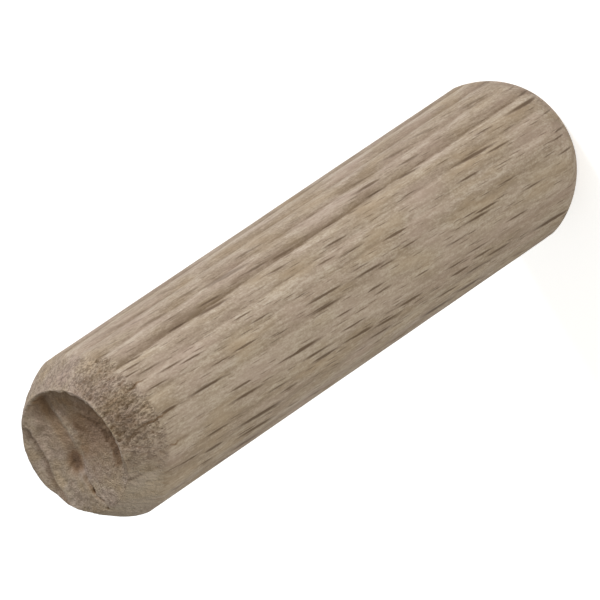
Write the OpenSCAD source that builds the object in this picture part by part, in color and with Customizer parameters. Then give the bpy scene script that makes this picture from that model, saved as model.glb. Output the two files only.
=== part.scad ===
// Fluted wooden dowel pin, standing on its plain end, with a torn-out upper end.
// Millimetres. The origin is the centre of the plain end face and +Z runs up the grain.

/* [Pin] */
// Diameter over the lands between the flutes
pin_d = 10; // [8:0.5:16]
// Overall length
pin_l = 40; // [20:1:80]

/* [Plain end] */
// Length of the rounded lead-in along the pin
lead_l = 2.5; // [1:0.1:4]
// How far the lead-in narrows the radius
lead_w = 1.25; // [0.5:0.05:2]
// How far the lead-in bows out from a straight cone
lead_bow = 0.2; // [0.05:0.05:0.35]

/* [Torn end] */
// Length of the rough chamfer along the pin
chamfer_l = 2.4; // [1:0.1:4]
// How far the rough chamfer narrows the radius
chamfer_w = 1.35; // [0.5:0.05:2]
// How far the rough chamfer bows out from a straight cone
chamfer_bow = 0.1; // [0.05:0.05:0.3]
// Width of the thin lip left between the chamfer and the tear
lip_w = 0.15; // [0.05:0.05:0.5]
// How far the wall of the tear leans inward at its deepest
wall_lean = 0.35; // [0.1:0.05:0.6]
// Direction across the growth rings, from +X towards +Y
ring_angle = -98; // [-180:1:180]
// Places across the rings where the torn floor steps down
step_at = [-2.5, -0.25]; // [-3:0.05:3]
// Depth of each terrace of the torn floor below the lip
step_depth = [0.15, 0.25, 0.5]; // [0.1:0.05:2]
// Slope of each terrace along the rings, in degrees
step_slope = [0, 4.5, 7]; // [0:0.5:25]

/* [Flutes] */
// Number of flutes around the pin
flute_n = 24; // [8:1:36]
// Depth of a flute below the lands
flute_depth = 0.15; // [0.05:0.05:0.4]
// Width of a flute at the lands
flute_w = 0.31; // [0.1:0.01:0.5]
// Direction of the first flute, from +X towards +Y
flute_angle = 1.5; // [-15:0.5:15]

/* [Hidden] */
$fn = 200;
pin_r = pin_d / 2;
foot_r = pin_r - lead_w;
top_r = pin_r - chamfer_w;
tear_r = top_r - lip_w;
// Cuts run past the surfaces that they open by this much
over = 1;
// Straight stretches that make up a bowed edge
arc_steps = 5;
beech = [0.66, 0.60, 0.53];

// Points of the arc from p to q that stands out to the right of the line between them by bow
function arc_points(p, q, bow) =
    let (half = norm(q - p) / 2,
         radius = (half * half + bow * bow) / (2 * bow),
         along = (q - p) / (2 * half),
         out = [along.y, -along.x],
         centre = (p + q) / 2 - (radius - bow) * out,
         reach = asin(half / radius))
    [for (i = [0:arc_steps])
        let (a = reach * (2 * i / arc_steps - 1))
        centre + radius * (sin(a) * along + cos(a) * out)];

// Half section of the pin with its two narrowed ends
module half_section() {
    polygon(concat(
        [[0, 0]],
        arc_points([foot_r, 0], [pin_r, lead_l], lead_bow),
        arc_points([pin_r, pin_l - chamfer_l], [top_r, pin_l], chamfer_bow),
        [[0, pin_l]]
    ));
}

// One straight flute of V section along the whole pin, on the +X side
module flute() {
    spread = flute_w / 2 * (1 + over / flute_depth);
    translate([pin_r, 0, -over])
        linear_extrude(pin_l + 2 * over)
            polygon([[-flute_depth, 0], [over, -spread], [over, spread]]);
}

// Everything above one terrace of the torn floor, between two places across the rings
module above_terrace(from, to, depth, slope) {
    reach = 2 * pin_r;
    translate([from, 0, pin_l - depth])
        rotate([-slope, 0, 0])
            translate([0, -reach, 0])
                cube([to - from, 2 * reach, reach]);
}

// One terrace of the tear, between two places across the rings, inside a leaning wall
module tear(from, depth, slope) {
    deepest = step_depth[2] + tear_r * tan(step_slope[2]);
    lean_over = wall_lean * over / deepest;
    intersection() {
        translate([0, 0, pin_l - deepest])
            cylinder(r1 = tear_r - wall_lean, r2 = tear_r + lean_over, h = deepest + over);
        rotate([0, 0, ring_angle])
            above_terrace(from, 2 * pin_r, depth, slope);
    }
}

module dowel() {
    color(beech)
        difference() {
            rotate_extrude() half_section();
            for (i = [0:flute_n - 1])
                rotate([0, 0, flute_angle + i * 360 / flute_n]) flute();
            tear(-pin_r, step_depth[0], step_slope[0]);
            tear(step_at[0], step_depth[1], step_slope[1]);
            tear(step_at[1], step_depth[2], step_slope[2]);
        }
}

dowel();
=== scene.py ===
import math
import random

import bmesh
import bpy
from mathutils import Matrix, Vector, noise


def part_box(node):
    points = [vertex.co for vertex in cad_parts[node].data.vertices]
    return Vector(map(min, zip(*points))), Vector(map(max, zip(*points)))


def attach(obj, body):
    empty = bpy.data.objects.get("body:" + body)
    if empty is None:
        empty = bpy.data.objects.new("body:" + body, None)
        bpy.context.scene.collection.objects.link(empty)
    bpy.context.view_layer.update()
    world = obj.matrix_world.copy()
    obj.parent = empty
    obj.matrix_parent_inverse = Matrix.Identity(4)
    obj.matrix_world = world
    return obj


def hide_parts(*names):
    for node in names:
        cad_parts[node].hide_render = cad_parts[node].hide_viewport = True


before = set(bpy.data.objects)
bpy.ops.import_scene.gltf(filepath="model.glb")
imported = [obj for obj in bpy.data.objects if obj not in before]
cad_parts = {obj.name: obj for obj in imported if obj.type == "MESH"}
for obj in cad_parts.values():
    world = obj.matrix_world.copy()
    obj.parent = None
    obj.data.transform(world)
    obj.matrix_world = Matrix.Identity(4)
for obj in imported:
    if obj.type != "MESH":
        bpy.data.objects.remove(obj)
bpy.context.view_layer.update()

mm = 0.001
tiny = 0.001                 # tolerance in mm
pinLow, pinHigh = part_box("dowel")
pinRadius = (pinHigh.x - pinLow.x) / 2 / mm
pinLength = (pinHigh.z - pinLow.z) / mm
print("frame: pin of radius", round(pinRadius, 3), "mm and length", round(pinLength, 3), "mm")


# small helpers

def smooth(low, high, value):
    t = min(max((value - low) / (high - low), 0), 1)
    return t * t * (3 - 2 * t)


def mix(a, b, t):
    return a + (b - a) * t


def follow(points, x):
    # height of the line through the points, eased between them
    for (x0, y0), (x1, y1) in zip(points, points[1:]):
        if x < x1:
            return mix(y0, y1, smooth(x0, x1, x))
    return points[-1][1]


def linearColor(hexText):
    channels = [int(hexText[i:i + 2], 16) / 255 for i in (1, 3, 5)]
    return [c / 12.92 if c < 0.04045 else ((c + 0.055) / 1.055) ** 2.4 for c in channels] + [1]


# what each point of the mesh says to the material: how torn it is, how brown or painted shaded, how dirty or
# painted shaded (painted lighter below zero), how flecked and how speckled
pointShares = ("torn", "stainAndShade", "dirtShadeAndHighlight", "fleck", "grit")

# the turned pin, in mm; a facing is the angle round the pin from the -Y side towards -X
pin = {
    "leadLength": 2.5,       # rounded lead-in at the plain end
    "leadWidth": 1.25,
    "leadBow": 0.18,
    "chamferLength": 2.4,    # rough chamfer at the torn end
    "chamferWidth": 1.3,
    "chamferBow": 0.1,
    "endShift": 0.07,        # both ends sit a little towards +X
    "flutes": 24,
    "fluteStart": -1.5,      # facing of the first flute line, in degrees
    # flutes were pressed deeper on the +X side than on the -X side: facing, depth
    "fluteDepth": [(-120, 0.06), (-75, 0.08), (-60, 0.13), (-30, 0.13), (-14, 0.07), (0, 0.05),
                   (180, 0.06)],
    # painted shade: how dark a lobe turns towards its -X edge, turned from the lamp, and painted highlight:
    # how pale its +X edge is, facing the lamp: facing, share
    "lobeShade": [(-180, 0.3), (-83, 1.2), (-68, 0.75), (-53, 1.1), (-38, 1.52), (-23, 0.5), (-8, 0.18),
                 (22, 0.1), (52, 0.3), (180, 0.3)],
    "lobeHighlight": [(-180, 0), (-68, 0.15), (-53, 0.1), (-38, 0.1), (-23, 0.4), (-8, 0.1), (0, 0),
                (180, 0)],
    "columns": 552,          # 23 to a flute
    "footRings": 6,
    "leadRings": 14,
    "bodyRings": 34,
    "edgeRings": 9,          # close rings just under the chamfer
    "edgeLength": 0.7,
    "edgeFollow": 1,         # length of the side's upper end that follows the torn edge down
    "chamferRings": 34,
    "tearRings": 54,
    "tearCrowding": 1.25,    # above 1 the rings lie closer together towards the rim
    "fibreRelief": 0.006,
    "seed": 7,
}

# the torn floor, in mm: along runs with the growth rings towards -X, across runs over them towards -Y
tear = {
    "ringTurn": 8,           # degrees from the X axis to the rings
    "rimRadius": 3.57,
    "rimLimit": 3.69,        # keeps the rim inside the chamfer's upper edge
    # lines along and across the rings where the floor steps from ring to ring
    "outerEdge": [(-2.4, -2.62), (-1.7, -2.54), (-0.2, -2.43), (0.7, -2.62), (1.2, -2.7), (2.5, -2.48)],
    "innerEdge": [(-2.4, -0.48), (-0.6, -0.22), (0.5, -0.38), (0.95, -0.52), (1.7, -0.48),
                  (2.75, -0.25), (3.3, 0.15)],
    "edgeSoft": 0.08,
    "riser": 0.42,           # width of the slope between the inner terraces on the +X side
    "wall": 0.2,
    "roughness": 0.04,
    # depths of the three terraces, and how much two of them come up for each mm along
    "outerDepth": 0.34,
    "middleDepth": 0.22,
    "middleRise": 0.09,
    "innerDepth": 0.6,
    "innerRise": 0.17,
    "lowSide": (0.36, 0.64),     # the inner terrace's +X side, beside the wall and away from it
    "ridgeHeight": 0.12,     # along the inner step, with a dip before it
    "ridgeWidth": 0.23,
    "dip": 0.14,
    "pitPlace": (0.58, -0.72),
    "pitSize": (0.92, 0.62),
    "pitSlant": (0.91, 0.41),    # cosine and sine
    "holePlace": (2.5, -0.29),
    # depth, stain and grime; the stain and grime are painted shade in these hollows and cracks
    "marks": {"pit": (0.26, 0.75, 0), "tail": (0.06, 0.28, 0), "hole": (0.2, 0.7, 1.2),
              "crack": (0.09, 0.2, 1.2)},
    # how brown the inner terrace is: along, share
    "brown": [(-2.5, 0.25), (-1.2, 0.5), (-0.4, 0.4), (0.5, 0.38), (1, 0.24), (1.9, 0.17), (2.5, 0.04)],
    "nickPlace": (1.85, -3.15),
    "nickRadius": 0.7,
    "nickDepth": 0.07,
    "lowLip": 0.13,          # how much lower the lip is on the +X side
    # how far the torn area reaches down the side: facing, height it starts above the chamfer's foot
    "start": [(-75, 0.45), (-60, 0.2), (-47, 0.1), (-43, -0.4), (-34, -0.4), (-30, 0.2), (-18, 0.1),
              (-13, -0.05), (30, 0), (45, 0.3), (60, 0.45)],
    "startLift": 0.02,
    "startRagged": 0.16,
    # how deep the torn wood lies on the side, and its roughness where it is fine and where it is coarse
    "sideDepth": 0.04,
    "sideFuzz": (0.045, 0.07),
    "sidePits": (0.05, 0.1),
    "sideCracks": 0.04,
}

# dark splits in the rough chamfer: facing, height of the lower and the upper end, depth
splits = [(11.2, 36.3, 38.2, 0.11), (32, 36.6, 37.2, 0.06), (-14, 36.9, 37.8, 0.15)]


def facingAngle(x, y):
    return math.degrees(math.atan2(-x, -y))


def bowedLine(p, q, bow, count):
    # points on an arc from p to q that bulges away from the pin's axis by bow
    half = (q - p).length / 2
    radius = (half * half + bow * bow) / (2 * bow)
    along = (q - p).normalized()
    out = Vector((along.y, -along.x))
    centre = (p + q) / 2 - (radius - bow) * out
    reach = math.asin(half / radius)
    points = []
    for i in range(count + 1):
        a = reach * (2 * i / count - 1)
        points.append(centre + radius * (math.sin(a) * along + math.cos(a) * out))
    return points


def straightLine(p, q, count, power=1):
    return [p.lerp(q, (i / count) ** power) for i in range(1, count + 1)]


def halfSection():
    footEdge = Vector((pinRadius - pin["leadWidth"], 0))
    leadTop = Vector((pinRadius, pin["leadLength"]))
    chamferFoot = Vector((pinRadius, pinLength - pin["chamferLength"]))
    edgeFoot = chamferFoot - Vector((0, pin["edgeLength"]))
    topEdge = Vector((pinRadius - pin["chamferWidth"], pinLength))
    points = [Vector((0, 0))]
    points += straightLine(points[-1], footEdge, pin["footRings"])
    points += bowedLine(footEdge, leadTop, pin["leadBow"], pin["leadRings"])[1:]
    points += straightLine(leadTop, edgeFoot, pin["bodyRings"])
    points += straightLine(edgeFoot, chamferFoot, pin["edgeRings"])
    points += bowedLine(chamferFoot, topEdge, pin["chamferBow"], pin["chamferRings"])[1:]
    points += straightLine(topEdge, Vector((0, pinLength)), pin["tearRings"], pin["tearCrowding"])
    return points


def flute(facing, z, depths):
    # round-backed lobes that meet at sharp lines: the cut, and the painted shade and highlight on the lobes
    # and in the line
    place = (facing - pin["fluteStart"]) * pin["flutes"] / 360
    place -= 0.1 * smooth(0, -15, facing) * smooth(-150, -90, facing)
    place += 0.05 * noise.noise(Vector((z * 0.35, math.floor(place), 0)))
    place += 0.02 * noise.noise(Vector((z * 1.6, math.floor(place), 5)))
    lobe = math.floor(place)
    s = place - lobe
    line = round(place) % pin["flutes"]
    middle = pin["fluteStart"] + (lobe + 0.5) * 360 / pin["flutes"]
    wear = 1 + 0.5 * noise.noise(Vector((z * 0.3, lobe, 2)))
    depth = follow(pin["fluteDepth"], facing) * depths[line] * wear
    patches = 1 + 0.45 * noise.noise(Vector((z * 0.6, s * 2.5, lobe)))
    # painted shade: darker towards each lobe's -X edge, and in the line between lobes
    dirtShadeAndHighlight = follow(pin["lobeShade"], middle) * mix(0.3, 1, smooth(0.2, 0.9, s)) * wear * patches
    dirtShadeAndHighlight += 0.3 * math.exp(-(min(s, 1 - s) / 0.08) ** 2)
    broken = smooth(-0.3, 0.4, noise.noise(Vector((z * 0.8, lobe, 8))))
    # painted highlight near each lobe's +X edge, in broken patches
    dirtShadeAndHighlight -= follow(pin["lobeHighlight"], middle) * smooth(0.05, 0.16, s) * smooth(0.5, 0.22, s) * (0.4 + broken)
    # paler between facings 10 and 46
    dirtShadeAndHighlight -= 0.25 * smooth(10, 20, facing) * smooth(46, 38, facing)
    return depth * (2 * s - 1) ** 2, dirtShadeAndHighlight


def aboveSmooth(facing, z):
    # height above the ragged edge where the smooth lobes stop and the torn wood starts
    wander = noise.noise(Vector((facing * 0.16, z * 0.4, 3)))
    wander += noise.noise(Vector((facing * 0.7, z, 9)))
    start = follow(tear["start"], facing) + tear["startLift"] + tear["startRagged"] * wander
    return z - (pinLength - pin["chamferLength"] + start)


def rimRadius(facing):
    wave = 0.08 * math.cos(math.radians(facing + 60)) + 0.02 * math.cos(math.radians(5 * facing))
    wave += 0.05 * noise.noise(Vector((facing * 0.06, 4, 1)))
    wave += 0.08 * noise.noise(Vector((facing * 0.25, 2, 6)))
    wave -= 0.1 * smooth(-0.1, 0.5, noise.noise(Vector((facing * 0.14, 7, 3)))) * smooth(-35, -55, facing)
    return min(tear["rimRadius"] + wave, tear["rimLimit"])


def floorEdges(along, across):
    # where the two steps lie on this line, and how far the point is up on the terrace behind each
    outerEdge = follow(tear["outerEdge"], along) + 0.04 * noise.noise(Vector((along * 2, 8, 5)))
    innerEdge = follow(tear["innerEdge"], along) + 0.06 * noise.noise(Vector((along * 2, 0, 5)))
    soft = tear["edgeSoft"]
    foot = mix(soft, 0.3, smooth(0.3, -0.5, along))
    riser = mix(soft, tear["riser"], smooth(1.4, 0.7, along))
    onMiddle = smooth(outerEdge - soft, outerEdge + soft, across)
    onInner = smooth(innerEdge - foot, innerEdge + riser, across)
    return outerEdge, innerEdge, onMiddle, onInner


def floorDepth(along, across, inward, edges):
    # depth of the terraces, and how far the point is up on the ridge
    outerEdge, innerEdge, onMiddle, onInner = edges
    outer = tear["outerDepth"] * smooth(-3.6, -2.5, across) * smooth(3, 1.2, along)
    outer *= smooth(-2.7, -1.3, along)
    middle = max(tear["middleDepth"] - tear["middleRise"] * along, 0.02)
    middle += 0.12 * smooth(-2.4, 0, across) * smooth(3, 0, along)
    # the middle terrace comes up towards its edge, and dips beside the ridge
    comesUp = mix(0.55, 1.9, smooth(-1.2, -2.6, along))
    middle = mix(middle, 0.05, smooth(comesUp, 0, across - outerEdge))
    besideRidge = smooth(0.5, -0.3, along) * smooth(-3, -1.8, along)
    middle += tear["dip"] * besideRidge * smooth(-1.1, -0.05, across - innerEdge)
    highSide = max(tear["innerDepth"] - tear["innerRise"] * along, 0.06)
    lowSide = mix(*tear["lowSide"], smooth(0.2, 1.8, inward))
    scarp = smooth(-0.6, 0.5, along + 0.12 * math.sin(4 * across))
    inner = max(mix(lowSide, highSide, scarp), middle * 0.6)
    ridge = besideRidge * math.exp(-((across - innerEdge - 0.2) / tear["ridgeWidth"]) ** 2)
    depth = mix(mix(outer, middle, onMiddle), inner, onInner)
    return depth - tear["ridgeHeight"] * ridge, ridge


def floorMarks(along, across, innerEdge, rough):
    # how far the point is in the pit over the end of the inner step, its tail, the hole and the crack
    u, v = along - tear["pitPlace"][0], across - tear["pitPlace"][1]
    length, width = tear["pitSize"]
    slantCos, slantSin = tear["pitSlant"]
    pit = math.hypot((slantCos * u - slantSin * v) / length, (slantSin * u + slantCos * v) / width)
    pit = smooth(1.25, 0.25, pit + 0.12 * rough)
    tail = smooth(0.24, 0.05, abs(u + 0.56 * v)) * smooth(0.1, -0.3, v) * smooth(-0.95, -0.5, v)
    holeAlong, holeAcross = tear["holePlace"]
    hole = smooth(0.11, 0.05, math.hypot((along - holeAlong) / 1.8, across - holeAcross))
    crack = smooth(0.12, 0.02, abs(across - innerEdge)) * smooth(0.6, 1.1, along)
    crack *= smooth(-0.5, 0.2, noise.noise(Vector((along * 2.5, 3, 3))))
    return {"pit": pit, "tail": tail, "hole": hole, "crack": crack}


def floorColor(along, across, inward, edges, ridge):
    # brown stain, painted shade and painted highlight of the floor without its marks
    outerEdge, innerEdge, onMiddle, onInner = edges
    # brown on the inner terrace, in streaks, and painted shade at its foot where the wall shades it
    streaks = smooth(-0.3, 0.4, noise.noise(Vector((along * 3 + across, across * 1.2, 7))))
    shaded = mix(1.8, 1.25, smooth(0, 1.5, along))
    wallFoot = smooth(shaded, shaded - 0.6, inward) * mix(0.28, 0.66, smooth(-1.6, 0, along))
    wallFoot *= smooth(2, 1.4, along) * (0.8 + 0.35 * streaks)
    reach = mix(0.9, 0.45, smooth(-1, -0.4, along) * smooth(1, 0.6, along))
    brown = follow(tear["brown"], along)
    brown *= smooth(0.1, reach, across - innerEdge - 0.15 * streaks)
    slant = noise.noise(Vector(((along - 0.5 * across) * 1.8, (across + 0.5 * along) * 0.6, 4)))
    brown += 0.14 * smooth(-0.1, 0.4, slant) * smooth(0.8, -0.2, along)
    brown = onInner * max(brown, wallFoot)
    # painted shade along the foot of the inner step; brown on the middle terrace, with painted shade added
    # near the +X wall
    foot = smooth(0.6, 0.1, along) * smooth(0.05, -0.1, across - innerEdge)
    foot *= 0.22 * smooth(-0.9, -0.5, across - innerEdge)
    middleBrown = mix(0.17, 0.04, smooth(-1, 0.5, along)) * mix(0.3, 1, smooth(-2.1, -1.6, across))
    middleBrown += 0.14 * smooth(-1.7, -2.7, along) * smooth(-2, -1, across)
    middleBrown *= onMiddle * (1 - onInner)
    # painted shade along the foot of the outer step, and in the corner at the +X side
    outerFoot = smooth(0.4, 0, abs(across - outerEdge + 0.2)) * smooth(-2.6, -1.2, along)
    corner = smooth(-2.3, -2.9, along) * smooth(-1.4, -0.8, across) * smooth(0.35, 0, across)
    stainAndShade = max(brown, middleBrown + foot, 0.24 * outerFoot, 0.3 * corner)
    # painted shade along the outer step's foot and a painted highlight along the ridge; the wood above the
    # outer step is paler
    grimeShadeAndHighlight = 0.3 * outerFoot - 0.7 * ridge * smooth(-0.5, -1.5, along)
    grimeShadeAndHighlight -= 0.9 * smooth(-1.6, -2.2, across) * smooth(0.5, 1.3, along) * onMiddle
    grimeShadeAndHighlight -= 0.6 * smooth(-1.4, -1.8, across) * smooth(-1.7, -2.2, along) * onMiddle
    return stainAndShade, grimeShadeAndHighlight


def tornFloor(along, across, inward, rough):
    # depth of the floor under the lip, its brown stain with painted shade, and its grime with painted shade
    # and highlight
    edges = floorEdges(along, across)
    outerEdge, innerEdge, onMiddle, _ = edges
    depth, ridge = floorDepth(along, across, inward, edges)
    stainAndShade, grimeShadeAndHighlight = floorColor(along, across, inward, edges, ridge)
    # the pit, its tail, the hole and the crack are painted dark as painted shade
    for name, share in floorMarks(along, across, innerEdge, rough).items():
        markDepth, markStainShade, markGrimeShade = tear["marks"][name]
        depth += markDepth * share
        stainAndShade = max(stainAndShade, markStainShade * share)
        grimeShadeAndHighlight += markGrimeShade * share
    depth += tear["roughness"] * mix(0.4, 1, onMiddle) * (rough + 0.3)
    # the lip is gone towards -X and outside the outer step, where the floor comes up to the edge
    noLip = smooth(0.3, -0.25, across - outerEdge) * smooth(-2.9, -2.2, along)
    wall = max(smooth(0, tear["wall"], inward), smooth(1.2, 2.6, along), noLip)
    return wall * depth, max(wall, smooth(0.02, 0.1, inward)) * stainAndShade, grimeShadeAndHighlight


def ringPlace(x, y):
    # place along and across the growth rings
    turn = math.radians(tear["ringTurn"])
    return -x * math.cos(turn) + y * math.sin(turn), -x * math.sin(turn) - y * math.cos(turn)


def tornEnd(x, y, facing):
    # depth below the top, the brown stain with painted shade, and the grime with painted shade and highlight
    along, across = ringPlace(x, y)
    inward = rimRadius(facing) - math.hypot(x, y)
    rough = noise.fractal(Vector((x * 3, y * 3, 0)), 0.9, 2.1, 4)
    depth, stainAndShade, grimeShadeAndHighlight = tornFloor(along, across, inward, rough)
    depth = max(depth, tear["lowLip"] * smooth(-12, -28, facing) * smooth(-70, -54, facing))
    nickAlong, nickAcross = tear["nickPlace"]
    nick = smooth(tear["nickRadius"], 0, math.hypot(along - nickAlong, across - nickAcross))
    depth += tear["nickDepth"] * nick
    return depth + 0.02 * (1 + noise.noise(Vector((x * 3, y * 3, 2)))), stainAndShade, grimeShadeAndHighlight


def tornGrimeShadeAndHighlight(facing, place, above, pits, torn, coarse):
    # grime on the rough chamfer: most in the middle of the side towards -Y; painted shade in its pits, and
    # painted light that makes the side towards -X, turned from the lamp, paler
    grimeShadeAndHighlight = mix(0.45, 0, smooth(-35, -20, facing))
    middleGrime = mix(1, 1.35, smooth(-30, -5, facing)) * mix(1, 0.3, smooth(0, 30, facing))
    grimeShadeAndHighlight = max(grimeShadeAndHighlight, coarse * middleGrime * smooth(-50, -38, facing))
    grimeShadeAndHighlight += 0.35 * torn * noise.noise(place)
    grimeShadeAndHighlight *= mix(0.45, 1.25, smooth(0.1, 1.7, above))
    return grimeShadeAndHighlight + 0.4 * pits - 0.7 * smooth(40, 60, facing)


def shapeTop(x, y, z):
    # new place of a point on the upper end, and its shares of what pointShares lists
    depth, stainAndShade, grimeShadeAndHighlight = tornEnd(x, y, facingAngle(x, y))
    # darker towards +X
    dirtShadeAndHighlight = mix(0.15, 0.35, smooth(2.5, -1, -x)) + grimeShadeAndHighlight
    grit = mix(0.68, 0.95, smooth(-0.6, 0.4, ringPlace(x, y)[1]))
    return x, y, z - max(depth, 0), (1, stainAndShade, dirtShadeAndHighlight, 0, grit)


def shapeSide(x, y, z, depths):
    # the same for a point on the side
    radius = math.hypot(x, y)
    facing = facingAngle(x, y)
    above = aboveSmooth(facing, z)
    cut, dirtShadeAndHighlight = flute(facing, z, depths)
    lobes = pinRadius - cut - pin["fibreRelief"] * (1 + noise.noise(Vector((x, y, z * 0.12))))
    fuzz = noise.fractal(Vector((x * 4.2, y * 4.2, z * 1.1)), 0.7, 2.2, 3)
    pits = smooth(0.2, 0.6, noise.noise(Vector((x * 5, y * 5, z * 2))))
    coarse = smooth(-60, -42, facing) * smooth(60, 25, facing)
    torn = smooth(-0.08, 0.14, above + 0.15 * fuzz)
    cracks = smooth(0.16, 0.02, abs(noise.noise(Vector((x * 2.6, y * 2.6, z * 0.9 + 5))))) * coarse
    rough = tear["sideDepth"] + mix(*tear["sideFuzz"], coarse) * fuzz
    rough += mix(*tear["sidePits"], coarse) * pits + tear["sideCracks"] * cracks
    rough = max(rough, 0) * smooth(-0.05, 0.35, above)
    grit = torn * mix(mix(1.3, 1.8, smooth(-60, 0, facing)), 2.2, coarse)
    grimeShadeAndHighlight = tornGrimeShadeAndHighlight(facing, Vector((x * 0.9, y * 0.9, z * 0.6)), above, pits, torn, coarse)
    dirtShadeAndHighlight = mix(dirtShadeAndHighlight, grimeShadeAndHighlight, torn)
    # painted shade in the chamfer's pits and cracks
    stainAndShade = (0.12 * pits + 0.14 * cracks) * coarse * torn
    # the splits are cut in, and painted dark inside as painted shade
    for place, low, high, depth in splits:
        offset = facing - place - 0.5 * (z - low) + 1.3 * noise.noise(Vector((z * 3, place, 0)))
        split = smooth(1.1, 0.2, abs(offset)) * smooth(low, low + 0.5, z) * smooth(high + 0.8, high, z)
        rough += depth * split * torn
        stainAndShade = max(stainAndShade, 0.3 * split)
        dirtShadeAndHighlight += 2 * split
    # the top edge is less dark: rubbed fuzz, and a painted highlight where the lip catches the light
    top = smooth(pinLength - 0.22, pinLength - 0.05, z + 0.1 * fuzz)
    dirtShadeAndHighlight *= mix(1, 0.4, top)
    # flecks are fewer on the deep lobes, at the plain end and in torn wood
    fleck = mix(0.55, 1, smooth(-48, -25, facing)) * mix(0.4, 1, smooth(0, 1.8, z))
    fleck *= 1 - torn * mix(0.8, 0.3, smooth(40, 55, facing))
    # and faint where the side runs along the rays
    fleck *= mix(0.2, 1, smooth(8, 32, abs((facing - tear["ringTurn"]) % 180 - 90)))
    # the side follows the torn edge down
    if z > pinLength - pin["edgeFollow"]:
        edge = (pinRadius - pin["chamferWidth"]) / radius
        depth = tornEnd(x * edge, y * edge, facing)[0]
        z -= depth * smooth(pinLength - pin["edgeFollow"], pinLength, z)
    newRadius = min(radius, lobes) - rough
    # the torn wood is pale like the smooth wood towards -X
    torn *= mix(1, 0.35, smooth(20, 50, facing))
    return x * newRadius / radius, y * newRadius / radius, z, (torn, stainAndShade, dirtShadeAndHighlight, fleck, grit)


def shapeVertex(vert, depths, layers):
    x, y, z = vert.co
    shares = (1, 0, 0, 1, 0)
    if z > pinLength - tiny:
        x, y, z, shares = shapeTop(x, y, z)
    elif math.hypot(x, y) > tiny:
        x, y, z, shares = shapeSide(x, y, z, depths)
    upperEnd = smooth(pinLength - pin["chamferLength"], pinLength - 0.5, z)
    lowerEnd = smooth(pin["leadLength"], 0.3, z)
    x += pin["endShift"] * max(upperEnd, lowerEnd)
    vert.co = Vector((x, y, z))
    for layer, share in zip(layers, shares):
        vert[layer] = share


def buildPin():
    mesh = bmesh.new()
    layers = [mesh.verts.layers.float.new(name) for name in pointShares]
    points = halfSection()
    verts = [mesh.verts.new((p.x, 0, p.y)) for p in points]
    edges = [mesh.edges.new(pair) for pair in zip(verts, verts[1:])]
    bmesh.ops.spin(mesh, geom=verts + edges, cent=(0, 0, 0), axis=(0, 0, 1),
                   angle=2 * math.pi, steps=pin["columns"], use_merge=True)
    bmesh.ops.remove_doubles(mesh, verts=mesh.verts[:], dist=1e-5)
    bmesh.ops.recalc_face_normals(mesh, faces=mesh.faces[:])
    rng = random.Random(pin["seed"])
    depths = [rng.uniform(0.85, 1.15) for _ in range(pin["flutes"])]
    for vert in mesh.verts:
        shapeVertex(vert, depths, layers)
    bmesh.ops.scale(mesh, vec=(mm, mm, mm), verts=mesh.verts[:])
    for face in mesh.faces:
        face.smooth = True
    data = bpy.data.meshes.new("turnedPin")
    mesh.to_mesh(data)
    mesh.free()
    piece = bpy.data.objects.new("turnedPin", data)
    bpy.context.scene.collection.objects.link(piece)
    print("pin:", len(data.vertices), "vertices,", len(data.polygons), "faces")
    return piece


def addNode(tree, kind, settings, inputs, output=0):
    # one node: its settings, then each input joined to a socket or given a value
    node = tree.nodes.new("ShaderNode" + kind)
    for name, value in settings.items():
        setattr(node, name, value)
    for name, value in inputs.items():
        if isinstance(value, bpy.types.NodeSocket):
            tree.links.new(value, node.inputs[name])
        else:
            node.inputs[name].default_value = value
    return node.outputs[output] if node.outputs else node


# places of the sockets on the nodes that give several sockets the same name
rangeValue, fromLow, fromHigh, toLow, toHigh = range(5)
mixShare, mixLower, mixUpper, mixResult = 0, 6, 7, 2

# raw beech; sizes in mm
beech = {
    "light": "#B8AA98",
    "mid": "#A59582",
    "dark": "#8E7D69",
    "rose": "#AB9689",
    "tan": "#A38E73",
    "ray": "#5E4B39",
    "dirtShadeAndHighlight": "#C3BAB0",       # what the wood is multiplied by under dirt and painted shade
    "torn": "#AE9E8B",
    "tornDark": "#837260",
    # the stain colours also stand for painted shade in the crater's hollows, at the foot of its steps and
    # wall, and in cracks
    "stainAndShade": "#775839",
    "deepStainAndShade": "#463327",
    "ringSpacing": 2.35,
    "grainLean": 2.9,        # degrees that the fibres lean from the pin's axis
    "rayWidth": 0.085,       # half the width of a ray fleck
    "rayWobble": 0.06,
    "roughness": 0.8,
    "specular": 0.3,
    "ior": 1.5,
    "bumpStrength": 0.5,
    "bumpHeight": 0.03,
}

# noise patterns in the wood: size of the marks along x, y and z, detail
patterns = {
    "wander": ((8, 8, 40), 2),
    "broad": ((0.6, 0.6, 5), 3),
    "patch": ((1.3, 1.3, 4), 2),
    "fibre": ((0.18, 0.18, 1.6), 3),
    "short": ((0.10, 0.10, 0.45), 2),
    "speckle": ((0.10, 0.10, 0.14), 2),
    "clump": ((0.35, 0.35, 0.6), 3),
}

# the strongest ray flecks: height, facing, half length
rays = [
    (16.8, 44.5, 1.2), (20.9, 44, 1.0), (24.3, 42, 1.4), (12.3, 48.5, 1.0), (11.0, 69, 1.4), (30.2, 63, 2.0),
    (34.0, 54, 1.0), (9.3, 19, 1.2), (23.0, 6.5, 1.8), (16.2, 0, 1.2), (36.8, 11, 0.8), (23.2, -31, 1.1),
    (14.8, -38, 0.9), (32.9, -45, 1.3),
]

# fainter flecks in cells: width and length of a cell, longest radius in cells, share left out, darkness
fleckCells = [(0.5, 9, 0.27, 0.25, 1), (0.3, 5, 0.27, 0.25, 0.9), (0.15, 2.4, 0.28, 0.3, 0.6)]


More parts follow.
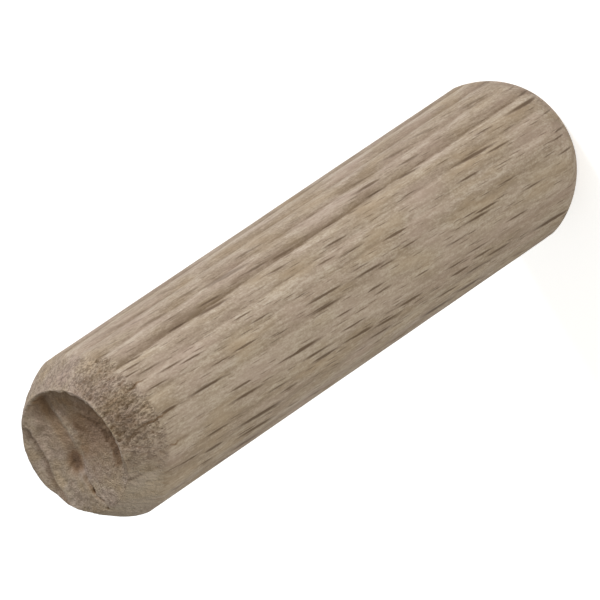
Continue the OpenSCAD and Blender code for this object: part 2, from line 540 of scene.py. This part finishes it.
def strongFlecks(tree, flat, turn, lean):
    # share of the strongest flecks, each of them a long ellipse
    nearest = 100            # farther than any fleck, in its own half widths
    for height, facing, half in rays:
        a = math.radians(facing)
        seat = Vector((-pinRadius * math.sin(a), -pinRadius * math.cos(a), height))
        seat = Matrix.Rotation(lean, 3, "Y") @ Matrix.Rotation(turn, 3, "Z") @ seat
        size = Vector((beech["rayWidth"], half))
        middle = -(seat.x + beech["rayWobble"] / 2) / size.x, seat.z / size.y, 0
        scaled = addNode(tree, "Mapping", {}, {"Vector": flat, "Scale": (1 / size.x, 1 / size.y, 0),
                                               "Location": middle})
        away = addNode(tree, "VectorMath", {"operation": "LENGTH"}, {0: scaled}, "Value")
        nearest = addNode(tree, "Math", {"operation": "MINIMUM"}, {0: nearest, 1: away})
    return addNode(tree, "MapRange", {"interpolation_type": "SMOOTHSTEP"},
                   {rangeValue: nearest, fromLow: 1.1, fromHigh: 0.5})


def faintFlecks(tree, flat):
    # share of the fainter flecks, at most one to a cell
    faint = 0
    for seed, (cellWidth, cellLength, reach, left, darkness) in enumerate(fleckCells):
        scaled = addNode(tree, "Mapping", {}, {"Vector": flat, "Scale": (1 / cellWidth, 1 / cellLength, 0),
                                               "Location": (seed, seed, 0)})
        cell = addNode(tree, "TexVoronoi", {"voronoi_dimensions": "2D"},
                       {"Vector": scaled, "Scale": 1}, "Distance")
        pick = addNode(tree, "SeparateColor", {}, {"Color": cell.node.outputs["Color"]}, "Red")
        size = addNode(tree, "MapRange", {},
                       {rangeValue: pick, fromLow: left, fromHigh: 1, toLow: 0, toHigh: reach})
        inside = addNode(tree, "Math", {"operation": "SUBTRACT"}, {0: size, 1: cell})
        mark = addNode(tree, "MapRange", {},
                       {rangeValue: inside, fromLow: 0, fromHigh: reach * 0.5, toHigh: darkness})
        faint = addNode(tree, "Math", {"operation": "MAXIMUM"}, {0: mark, 1: faint})
    return faint


def beechMaterial():
    # unfinished turned beech: dull pale brown, straight fine fibres, short dark ray flecks
    material = bpy.data.materials.new("rawTurnedBeech")
    material.use_nodes = True
    tree = material.node_tree
    tree.nodes.clear()
    color = {name: linearColor(value) for name, value in beech.items() if isinstance(value, str)}
    turn = math.radians(tear["ringTurn"])
    lean = -math.radians(beech["grainLean"])
    place = addNode(tree, "TexCoord", {}, {}, "Object")
    # wood runs x with the rings, y over the rings and z with the fibres, in mm
    turned = addNode(tree, "Mapping", {},
                     {"Vector": place, "Scale": [1 / mm] * 3, "Rotation": (0, 0, turn)})
    wood = addNode(tree, "Mapping", {}, {"Vector": turned, "Rotation": (0, lean, 0)})
    torn, stainAndShade, dirtShadeAndHighlight, fleck, grit = [addNode(tree, "Attribute", {"attribute_name": name}, {}, "Fac")
                                      for name in pointShares]
    pattern = {}
    for name, (size, detail) in patterns.items():
        scaled = addNode(tree, "Mapping", {}, {"Vector": wood, "Scale": [1 / s for s in size]})
        pattern[name] = addNode(tree, "TexNoise", {}, {"Vector": scaled, "Scale": 1, "Detail": detail})

    # growth rings darken slowly and end sharply
    across = addNode(tree, "SeparateXYZ", {}, {"Vector": wood}, "Y")
    across = addNode(tree, "Math", {"operation": "MULTIPLY_ADD"}, {0: pattern["wander"], 1: 2.5, 2: across})
    ring = addNode(tree, "Math", {"operation": "WRAP"}, {0: across, 1: beech["ringSpacing"], 2: 0})
    ring = addNode(tree, "MapRange", {"interpolation_type": "SMOOTHSTEP"},
                   {rangeValue: ring, fromLow: 0.4, fromHigh: 2.3})

    # tone adds up from the patterns
    tone = addNode(tree, "Math", {"operation": "MULTIPLY"}, {0: ring, 1: 0.35})
    for name, share in (("broad", 2.7), ("fibre", 2.5), ("short", 2.6), ("speckle", 2.1)):
        centred = addNode(tree, "Math", {"operation": "SUBTRACT"}, {0: pattern[name], 1: 0.45})
        tone = addNode(tree, "Math", {"operation": "MULTIPLY_ADD"}, {0: centred, 1: share, 2: tone})
    middling = addNode(tree, "MapRange", {}, {rangeValue: tone, fromLow: -0.4, fromHigh: 0.5})
    darkest = addNode(tree, "MapRange", {}, {rangeValue: tone, fromLow: 0.4, fromHigh: 1.4})
    rosy = addNode(tree, "MapRange", {},
                   {rangeValue: pattern["patch"], fromLow: 0.45, fromHigh: 0.75, toHigh: 0.5})
    tanned = addNode(tree, "MapRange", {},
                     {rangeValue: pattern["patch"], fromLow: 0.5, fromHigh: 0.25, toHigh: 0.6})
    # a share below zero makes the wood paler: painted highlight on lobe edges and the ridge, and painted
    # light on the chamfer's -X side
    paleOrHighlit = addNode(tree, "MapRange", {}, {rangeValue: dirtShadeAndHighlight, fromLow: 0, fromHigh: -1, toHigh: 0.6})

    # rays are thin sheets that run over the rings, so a point's place in them is (x, z)
    flat = addNode(tree, "Mapping", {}, {"Vector": wood, "Rotation": (math.pi / 2, 0, 0)})
    flat = addNode(tree, "VectorMath", {"operation": "MULTIPLY_ADD"},
                   {0: pattern["short"].node.outputs["Color"], 1: (beech["rayWobble"], 0, 0), 2: flat})
    strong, faint = [addNode(tree, "Math", {"operation": "MULTIPLY"}, {0: share, 1: fleck})
                     for share in (strongFlecks(tree, flat, turn, lean), faintFlecks(tree, flat))]
    strongRays = addNode(tree, "Math", {"operation": "MULTIPLY"}, {0: strong, 1: 0.9})
    faintRays = addNode(tree, "Math", {"operation": "MULTIPLY"}, {0: faint, 1: 0.95})

    # torn end grain is speckled with broken fibre ends
    broken = addNode(tree, "Math", {"operation": "ADD"}, {0: pattern["speckle"], 1: pattern["clump"]})
    broken = addNode(tree, "Math", {"operation": "ADD"}, {0: broken, 1: pattern["short"]})
    broken = addNode(tree, "MapRange", {},
                     {rangeValue: broken, fromLow: 1.15, fromHigh: 1.85, toLow: -0.5, toHigh: 0.5})
    broken = addNode(tree, "Math", {"operation": "MULTIPLY"}, {0: broken, 1: grit})
    # torn end grain turns paler where that share is below zero: painted light
    paleEnds = addNode(tree, "MapRange", {},
                       {rangeValue: dirtShadeAndHighlight, fromLow: 0, fromHigh: -1, toLow: 0.5, toHigh: 1})
    paleEnds = addNode(tree, "Math", {"operation": "ADD"}, {0: broken, 1: paleEnds})
    ragged = addNode(tree, "Mix", {"data_type": "RGBA"},
                     {mixShare: paleEnds, mixLower: color["tornDark"], mixUpper: color["torn"]}, mixResult)
    tints = []
    for share in (rosy, tanned):
        tint = addNode(tree, "Math", {"operation": "MULTIPLY"}, {0: share, 1: torn})
        tints.append(addNode(tree, "Math", {"operation": "MULTIPLY"}, {0: tint, 1: 1.5}))
    dirtyOrShaded = addNode(tree, "MapRange", {}, {rangeValue: dirtShadeAndHighlight, fromLow: 0, fromHigh: 2, toHigh: 1})
    stainedOrShaded = addNode(tree, "MapRange", {}, {rangeValue: stainAndShade, fromLow: 0, fromHigh: 0.6, toHigh: 0.8})
    deepest = addNode(tree, "MapRange", {}, {rangeValue: stainAndShade, fromLow: 0.4, fromHigh: 1})

    # the palest wood and what lies over it, from the lowest up: share, colour, blend
    coats = [
        (middling, color["mid"], "MIX"), (darkest, color["dark"], "MIX"),
        (rosy, color["rose"], "MIX"), (tanned, color["tan"], "MIX"),
        (paleOrHighlit, color["light"], "MIX"), (faintRays, color["ray"], "MIX"),
        (torn, ragged, "MIX"), (tints[0], color["rose"], "COLOR"), (tints[1], color["tan"], "COLOR"),
        # the dirt and stain coats also carry painted shade
        (dirtyOrShaded, color["dirtShadeAndHighlight"], "MULTIPLY"), (stainedOrShaded, color["stainAndShade"], "MIX"),
        (deepest, color["deepStainAndShade"], "MIX"), (strongRays, color["ray"], "MIX"),
    ]
    surface = color["light"]
    for share, coat, blend in coats:
        surface = addNode(tree, "Mix", {"data_type": "RGBA", "blend_type": blend},
                          {mixShare: share, mixLower: surface, mixUpper: coat}, mixResult)

    dark = addNode(tree, "Math", {"operation": "MAXIMUM"}, {0: strong, 1: faint})
    height = addNode(tree, "Math", {"operation": "MULTIPLY_ADD"}, {0: dark, 1: -0.6, 2: pattern["short"]})
    height = addNode(tree, "Math", {"operation": "MULTIPLY_ADD"}, {0: broken, 1: 2.5, 2: height})
    bump = addNode(tree, "Bump", {}, {"Height": height, "Strength": beech["bumpStrength"],
                                      "Distance": beech["bumpHeight"] * mm})
    shader = addNode(tree, "BsdfPrincipled", {}, {
        "Base Color": surface, "Normal": bump, "IOR": beech["ior"], "Roughness": beech["roughness"],
        "Specular IOR Level": beech["specular"]})
    addNode(tree, "OutputMaterial", {}, {"Surface": shader})
    print("beech:", len(tree.nodes), "nodes")
    return material


# stage, light and camera; sizes in mm
studio = {
    "tilt": 49.25,           # degrees between the pin's axis and the line of sight
    "roll": -124.22,
    "distance": 631.6,
    "lens": 682.6,
    "offset": (0.222, 0.207),   # mm that the pin's middle lies right of and above the centre
    "worldLevel": 0.38,
    "worldTint": (1.005, 1, 0.965, 1),
    "lampDistance": 800,
    # direction, size in mm, level, colour
    "key": ((0.91, -0.19, 0.37), 220, 0.81, (0.96, 1, 1.08)),
    "fill": ((-0.2, -0.94, 0.26), 480, 0.39, (1.01, 1, 0.93)),
    "sensor": 36,
    "clipStart": 10,
    "floorHalf": 1500,
    "paper": "#F4F3F1",
    "paperGlow": 0.6,
}


def buildFloor():
    mesh = bmesh.new()
    bmesh.ops.create_grid(mesh, x_segments=2, y_segments=2, size=studio["floorHalf"] * mm)
    data = bpy.data.meshes.new("floor")
    mesh.to_mesh(data)
    mesh.free()
    floor = bpy.data.objects.new("floor", data)
    bpy.context.scene.collection.objects.link(floor)
    # matt white paper that stays white to the camera and keeps the shadow
    material = bpy.data.materials.new("mattWhitePaper")
    material.use_nodes = True
    tree = material.node_tree
    tree.nodes.clear()
    paper = addNode(tree, "BsdfDiffuse", {}, {"Color": linearColor(studio["paper"])})
    glow = addNode(tree, "Emission", {}, {"Color": (1, 1, 1, 1), "Strength": studio["paperGlow"]})
    cameraRay = addNode(tree, "LightPath", {}, {}, "Is Camera Ray")
    seen = addNode(tree, "Math", {"operation": "MAXIMUM"},
                   {0: cameraRay, 1: cameraRay.node.outputs["Is Glossy Ray"]})
    lit = addNode(tree, "AddShader", {}, {0: paper, 1: glow})
    shader = addNode(tree, "MixShader", {}, {0: seen, 1: paper, 2: lit})
    addNode(tree, "OutputMaterial", {}, {"Surface": shader})
    data.materials.append(material)
    print("floor: matt white paper")


def buildLight():
    world = bpy.data.worlds.new("studio")
    bpy.context.scene.world = world
    world.use_nodes = True
    back = world.node_tree.nodes["Background"]
    back.inputs["Color"].default_value = studio["worldTint"]
    back.inputs["Strength"].default_value = studio["worldLevel"]
    for name in ("key", "fill"):
        direction, size, level, tint = studio[name]
        direction = Vector(direction).normalized()
        distance = studio["lampDistance"] * mm
        lamp = bpy.data.lights.new(name, "AREA")
        lamp.shape = "DISK"
        lamp.size = size * mm
        lamp.color = tint
        lamp.energy = level * math.pi ** 2 * distance ** 2
        light = bpy.data.objects.new(name, lamp)
        light.location = (pinLow + pinHigh) / 2 + direction * distance
        light.rotation_euler = direction.to_track_quat("Z", "Y").to_euler()
        bpy.context.scene.collection.objects.link(light)
    print("light: world, key and fill")


def buildCamera():
    tilt = math.radians(studio["tilt"])
    towards = Vector((0, -math.sin(tilt), math.cos(tilt)))
    roll = Matrix.Rotation(math.radians(studio["roll"]), 3, "Z")
    turn = towards.to_track_quat("Z", "Y").to_matrix() @ roll
    right, up, _ = turn.transposed()
    aim = (pinLow + pinHigh) / 2 - (right * studio["offset"][0] + up * studio["offset"][1]) * mm
    data = bpy.data.cameras.new("camera")
    data.sensor_width = studio["sensor"]
    data.lens = studio["lens"]
    data.clip_start = studio["clipStart"] * mm
    camera = bpy.data.objects.new("camera", data)
    camera.matrix_world = Matrix.Translation(aim + towards * studio["distance"] * mm) @ turn.to_4x4()
    bpy.context.scene.collection.objects.link(camera)
    bpy.context.scene.camera = camera
    print("camera set")


buildCamera()
buildLight()
buildFloor()
dowel = buildPin()
dowel.data.materials.append(beechMaterial())
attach(dowel, "root")
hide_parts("dowel")
bpy.context.scene.view_settings.view_transform = "Standard"
